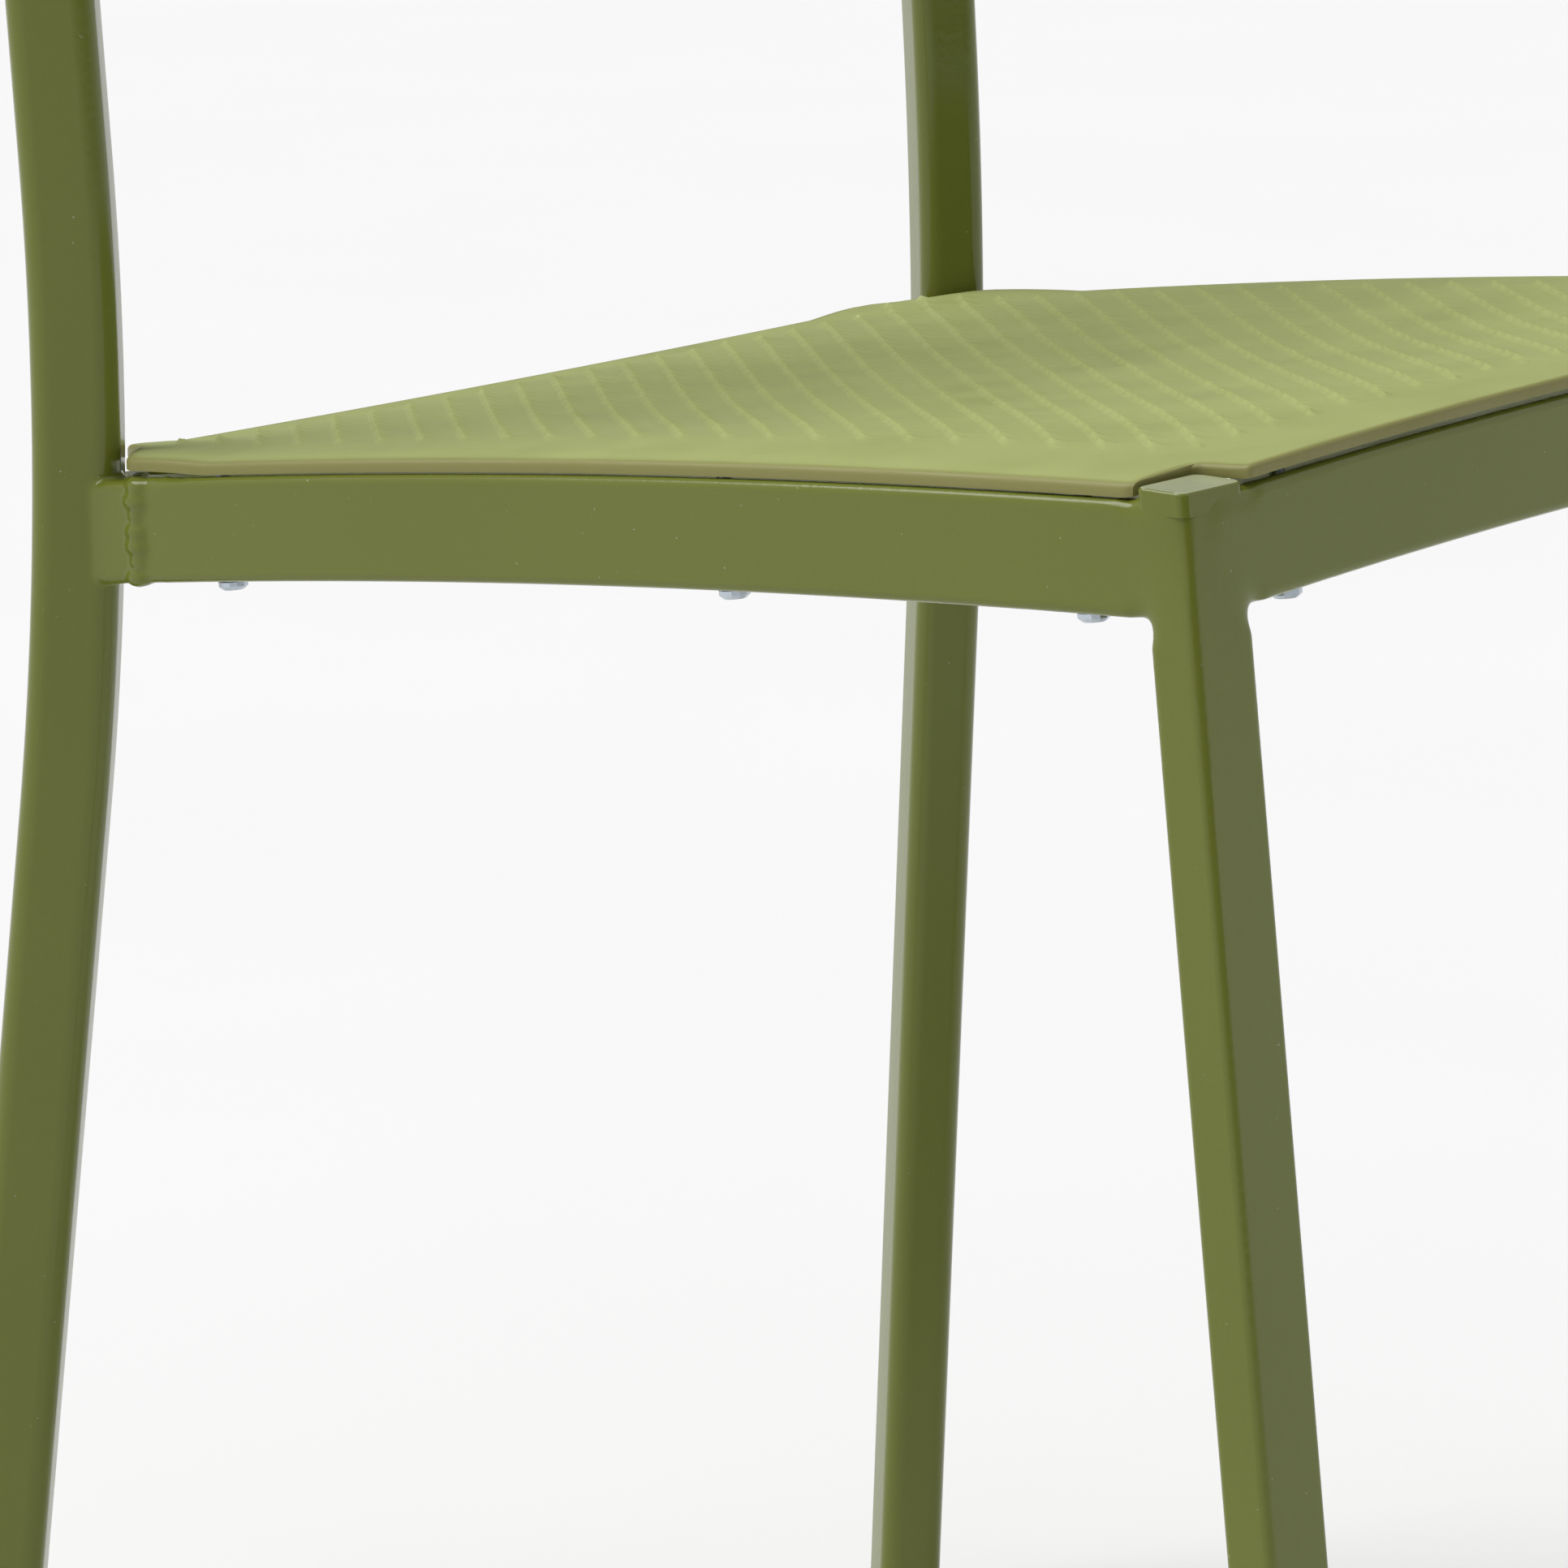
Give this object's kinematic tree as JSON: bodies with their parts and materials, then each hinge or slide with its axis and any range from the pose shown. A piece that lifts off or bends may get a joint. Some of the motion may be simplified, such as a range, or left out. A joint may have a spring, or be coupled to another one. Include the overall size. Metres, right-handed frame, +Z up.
{
  "type": "stacking chair",
  "caption": "Stacking side chair with a welded flat-tube frame, bent rear posts, splayed front legs and thin moulded seat and back panels.",
  "frame": {"origin": "on the floor under the middle of the chair", "axes": "+Z up, -Y the way the chair faces, +X to the sitter's left"},
  "size_m": [0.4418, 0.5048, 0.8],
  "materials": {
    "powder_coat_olive": "gloss",
    "moulded_panel_olive": "satin",
    "glide_nylon": "satin",
    "zinc_screw": "satin"
  },
  "bodies": {
    "root": {"back_panel": "moulded_panel_olive", "back_screw_lower_left": "zinc_screw", "back_screw_lower_right": "zinc_screw", "back_screw_upper_left": "zinc_screw", "back_screw_upper_right": "zinc_screw", "front_glide_left": "glide_nylon", "front_glide_right": "glide_nylon", "front_leg_cap_left": "powder_coat_olive", "front_leg_cap_right": "powder_coat_olive", "front_leg_left": "powder_coat_olive", "front_leg_right": "powder_coat_olive", "front_rail": "powder_coat_olive", "lower_back_rail": "powder_coat_olive", "rear_glide_left": "glide_nylon", "rear_glide_right": "glide_nylon", "rear_post_cap_left": "powder_coat_olive", "rear_post_cap_right": "powder_coat_olive", "rear_post_left": "powder_coat_olive", "rear_post_right": "powder_coat_olive", "rear_rail": "powder_coat_olive", "seat_panel": "moulded_panel_olive", "seat_screw_back_left": "zinc_screw", "seat_screw_back_right": "zinc_screw", "seat_screw_front_left": "zinc_screw", "seat_screw_front_right": "zinc_screw", "seat_screw_left_front": "zinc_screw", "seat_screw_left_middle": "zinc_screw", "seat_screw_left_rear": "zinc_screw", "seat_screw_right_front": "zinc_screw", "seat_screw_right_middle": "zinc_screw", "seat_screw_right_rear": "zinc_screw", "side_rail_left": "powder_coat_olive", "side_rail_right": "powder_coat_olive", "side_rail_weld_left": "powder_coat_olive", "side_rail_weld_right": "powder_coat_olive", "upper_back_rail": "powder_coat_olive"}
  },
  "joints": []
}
